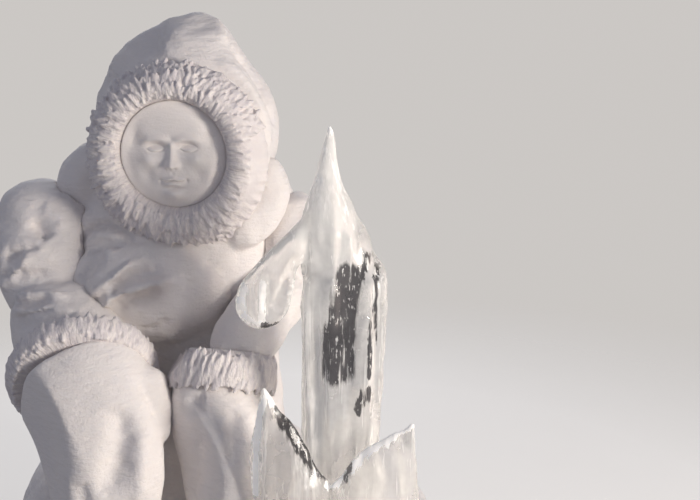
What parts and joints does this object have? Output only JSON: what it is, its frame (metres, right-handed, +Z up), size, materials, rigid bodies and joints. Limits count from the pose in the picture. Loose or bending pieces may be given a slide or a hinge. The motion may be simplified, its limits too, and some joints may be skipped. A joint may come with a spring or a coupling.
{
  "type": "snow sculpture of a seated figure by an ice fire",
  "caption": "Carved snow figure in a fur-trimmed hooded parka and mittens, seated on a low snow base beside a fire of clear ice flames.",
  "frame": {"origin": "centre of the base's underside, on the floor", "axes": "+Z up, the figure and the fire face -Y, +X to the right as seen from the front"},
  "size_m": [1.4, 1.17, 1.7499],
  "materials": {
    "carved_snow": "packed carved snow, matt",
    "fur_snow": "snow raked into fur strokes, matt",
    "smooth_snow": "fine smoothed snow, satin matt",
    "clear_ice": "clear carved ice, wet gloss"
  },
  "bodies": {
    "root": {"snow_base": "carved_snow", "parka_body": "carved_snow", "parka_front": "carved_snow", "left_shoulder": "carved_snow", "right_shoulder": "carved_snow", "left_upper_sleeve": "carved_snow", "right_upper_sleeve": "carved_snow", "left_lower_sleeve": "carved_snow", "right_lower_sleeve": "carved_snow", "left_mitten": "carved_snow", "right_mitten": "carved_snow", "left_thumb": "carved_snow", "right_thumb": "carved_snow", "left_leg": "carved_snow", "right_leg": "carved_snow", "hood": "carved_snow", "hood_collar": "carved_snow", "fur_ruff": "fur_snow", "left_cuff": "fur_snow", "right_cuff": "fur_snow", "face": "smooth_snow", "ice_hearth": "clear_ice", "ice_column": "clear_ice", "tall_flame": "clear_ice", "drooping_petal": "clear_ice", "left_flame": "clear_ice", "right_flame": "clear_ice", "rear_flame": "clear_ice"}
  },
  "joints": []
}
